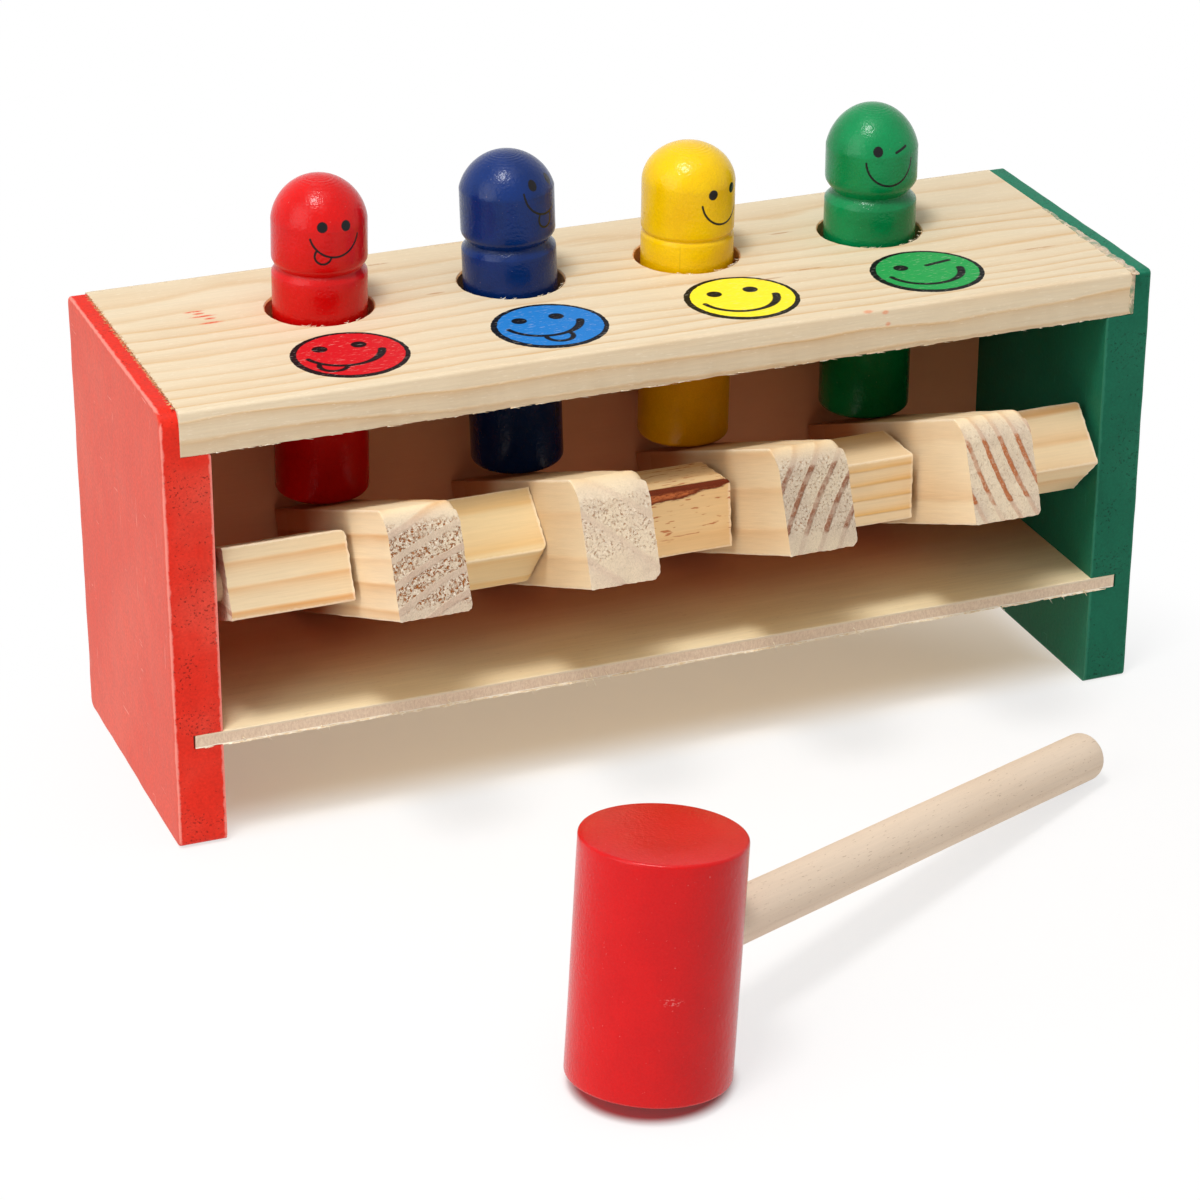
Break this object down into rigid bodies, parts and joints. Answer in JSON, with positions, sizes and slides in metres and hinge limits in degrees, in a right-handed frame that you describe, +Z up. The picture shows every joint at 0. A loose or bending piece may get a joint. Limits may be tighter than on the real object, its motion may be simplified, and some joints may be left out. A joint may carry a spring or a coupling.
{
  "type": "peg pounding bench",
  "caption": "Wooden pounding bench: pegs stand in a drilled board on rocking blocks that share a hidden dowel with loose square spacers; a separate mallet lies in front.",
  "frame": {"origin": "on the table, in the middle of the footprint that the bench and its mallet take together", "axes": "+X along the bench from the red end panel to the green one, +Y from the mallet's side to the back board, +Z up"},
  "size_m": [0.26, 0.2397, 0.1492],
  "materials": {
    "red_fibreboard": "satin paint on fibreboard",
    "green_fibreboard": "satin paint on fibreboard",
    "pine_board": "bare planed pine",
    "thin_ply": "bare thin plywood",
    "beech_dowel": "bare beech",
    "pine_block": "bare sawn pine",
    "pine_spacer": "bare sawn pine",
    "peg_red_lacquer": "gloss lacquer on wood",
    "peg_blue_lacquer": "gloss lacquer on wood",
    "peg_yellow_lacquer": "gloss lacquer on wood",
    "peg_green_lacquer": "gloss lacquer on wood",
    "mallet_red_lacquer": "gloss lacquer on wood",
    "beech_handle": "bare turned beech"
  },
  "bodies": {
    "bench": {"left_end_panel": "red_fibreboard", "right_end_panel": "green_fibreboard", "top_board": "pine_board", "floor_board": "thin_ply", "back_board": "thin_ply", "axle_dowel": "beech_dowel"},
    "rocker_red": {"rocker_red": "pine_block"},
    "rocker_blue": {"rocker_blue": "pine_block"},
    "rocker_yellow": {"rocker_yellow": "pine_block"},
    "rocker_green": {"rocker_green": "pine_block"},
    "peg_red": {"peg_red": "peg_red_lacquer"},
    "peg_blue": {"peg_blue": "peg_blue_lacquer"},
    "peg_yellow": {"peg_yellow": "peg_yellow_lacquer"},
    "peg_green": {"peg_green": "peg_green_lacquer"},
    "spacer_1": {"spacer_1": "pine_spacer"},
    "spacer_2": {"spacer_2": "pine_spacer"},
    "spacer_3": {"spacer_3": "pine_spacer"},
    "spacer_4": {"spacer_4": "pine_spacer"},
    "spacer_5": {"spacer_5": "pine_spacer"},
    "mallet": {"mallet_head": "mallet_red_lacquer", "mallet_handle": "beech_handle"}
  },
  "joints": [
    {"name": "rocker_red_tilt", "type": "hinge", "parent": "bench", "child": "rocker_red", "pos_m": [-0.074, 0.04536, 0.0654], "axis": [1, 0, 0], "range_deg": [0, 48]},
    {"name": "rocker_blue_tilt", "type": "hinge", "parent": "bench", "child": "rocker_blue", "pos_m": [-0.026, 0.04536, 0.0654], "axis": [1, 0, 0], "range_deg": [0, 48]},
    {"name": "rocker_yellow_tilt", "type": "hinge", "parent": "bench", "child": "rocker_yellow", "pos_m": [0.02587, 0.04536, 0.0654], "axis": [1, 0, 0], "range_deg": [0, 48]},
    {"name": "rocker_green_tilt", "type": "hinge", "parent": "bench", "child": "rocker_green", "pos_m": [0.07587, 0.04536, 0.0654], "axis": [1, 0, 0], "range_deg": [0, 48]},
    {"name": "peg_red_lift", "type": "slide", "parent": "bench", "child": "peg_red", "axis": [0.0175, 0, 0.9998], "range_m": [0, 0.0366]},
    {"name": "peg_blue_lift", "type": "slide", "parent": "bench", "child": "peg_blue", "axis": [-0.0332, 0, 0.9995], "range_m": [0, 0.0366]},
    {"name": "peg_yellow_lift", "type": "slide", "parent": "bench", "child": "peg_yellow", "axis": [0.0105, 0, 0.9999], "range_m": [0, 0.0366]},
    {"name": "peg_green_lift", "type": "slide", "parent": "bench", "child": "peg_green", "axis": [0, 0, 1], "range_m": [0, 0.0366]},
    {"name": "spacer_1_spin", "type": "hinge", "parent": "bench", "child": "spacer_1", "pos_m": [-0.10049, 0.04536, 0.0654], "axis": [1, 0, 0], "continuous": true},
    {"name": "spacer_2_spin", "type": "hinge", "parent": "bench", "child": "spacer_2", "pos_m": [-0.05, 0.04536, 0.0654], "axis": [1, 0, 0], "continuous": true},
    {"name": "spacer_3_spin", "type": "hinge", "parent": "bench", "child": "spacer_3", "pos_m": [0, 0.04536, 0.0654], "axis": [1, 0, 0], "continuous": true},
    {"name": "spacer_4_spin", "type": "hinge", "parent": "bench", "child": "spacer_4", "pos_m": [0.05, 0.04536, 0.0654], "axis": [1, 0, 0], "continuous": true},
    {"name": "spacer_5_spin", "type": "hinge", "parent": "bench", "child": "spacer_5", "pos_m": [0.10114, 0.04536, 0.0654], "axis": [1, 0, 0], "continuous": true},
    {"name": "mallet_lift", "type": "slide", "parent": "bench", "child": "mallet", "axis": [0, 0, 1], "range_m": [0, 0.15]}
  ],
  "couplings": [
    {"joint": "peg_red_lift", "follows": "rocker_red_tilt", "m_per_rad": 0.0436},
    {"joint": "peg_blue_lift", "follows": "rocker_blue_tilt", "m_per_rad": 0.0436},
    {"joint": "peg_yellow_lift", "follows": "rocker_yellow_tilt", "m_per_rad": 0.0436},
    {"joint": "peg_green_lift", "follows": "rocker_green_tilt", "m_per_rad": 0.0436}
  ]
}
